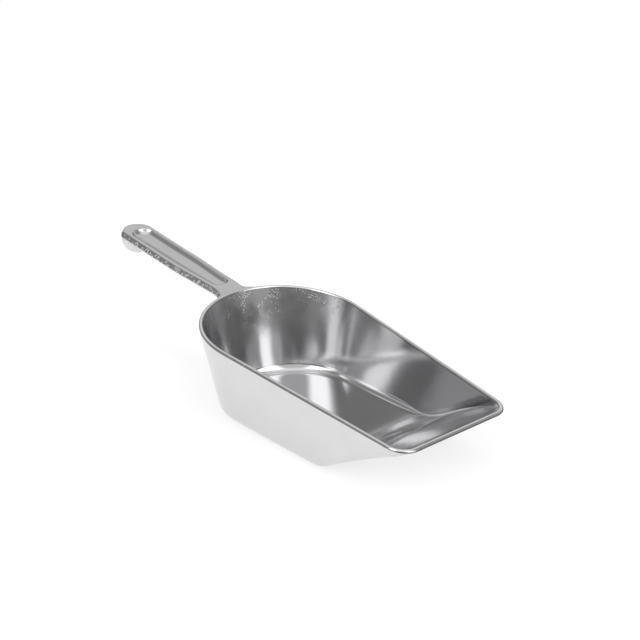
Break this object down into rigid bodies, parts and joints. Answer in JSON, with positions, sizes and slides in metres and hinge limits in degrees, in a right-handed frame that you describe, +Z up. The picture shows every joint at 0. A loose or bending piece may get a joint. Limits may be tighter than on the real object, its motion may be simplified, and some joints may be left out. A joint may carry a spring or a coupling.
{
  "type": "ice scoop",
  "caption": "Flat-bottomed cast-aluminium ice scoop: deep round-backed bowl, ramp rising to a straight pouring lip, and a hollow-topped handle with a heel.",
  "frame": {"origin": "on the flat floor, under the middle of the overall length, on the centre plane", "axes": "+X along the scoop from the handle towards the pouring lip, +Y across it, +Z up"},
  "size_m": [0.2508, 0.086, 0.0588],
  "materials": {
    "cast_polish": "machine-polished sand casting: bright, slightly smeared reflections, fine rubbing marks and a few casting pits",
    "rim_polish": "buffed rounded edge, brighter than the walls"
  },
  "bodies": {
    "root": {"bowl_floor": "cast_polish", "front_ramp": "cast_polish", "bowl_wall": "cast_polish", "rim_edge": "rim_polish", "lip_edge": "rim_polish", "handle_neck": "cast_polish", "handle_grip": "cast_polish", "handle_heel": "cast_polish"}
  },
  "joints": []
}
